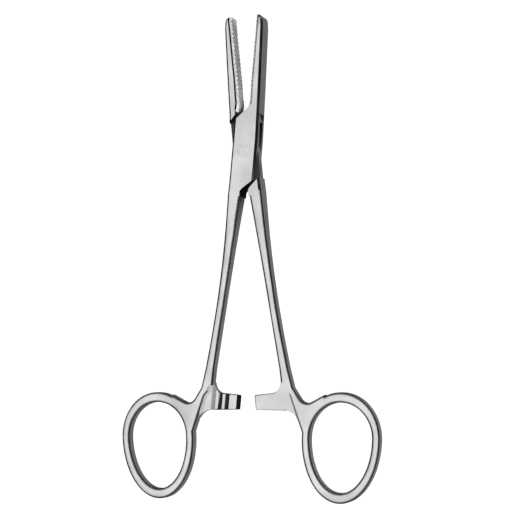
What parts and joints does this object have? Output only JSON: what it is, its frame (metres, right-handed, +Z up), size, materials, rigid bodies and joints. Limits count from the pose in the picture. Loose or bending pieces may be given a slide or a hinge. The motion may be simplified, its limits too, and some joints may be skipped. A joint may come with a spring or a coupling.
{
  "type": "tubing clamp",
  "caption": "Steel tubing clamp with straight cross-serrated jaws, crossed arms hinged in a box lock, an interlocking ratchet that holds it shut, and finger rings.",
  "frame": {"origin": "on the rivet's axis, in the face of the box that lies on the table", "axes": "+Y runs from the rivet to the jaw tips, +Z up out of the resting face along the rivet, +X to the right hand finger ring"},
  "size_m": [0.0926, 0.1653, 0.0066],
  "materials": {
    "arm_steel": "satin",
    "rivet_steel": "satin, ground flush"
  },
  "bodies": {
    "box_side": {"box_arm": "arm_steel", "pivot_pin": "rivet_steel"},
    "tongue_side": {"inner_arm": "arm_steel"}
  },
  "joints": [
    {"name": "box_lock", "type": "hinge", "parent": "box_side", "child": "tongue_side", "pos_m": [0, 0, 0.0033], "axis": [0, 0, 1], "range_deg": [-11.2, 58.8]}
  ]
}
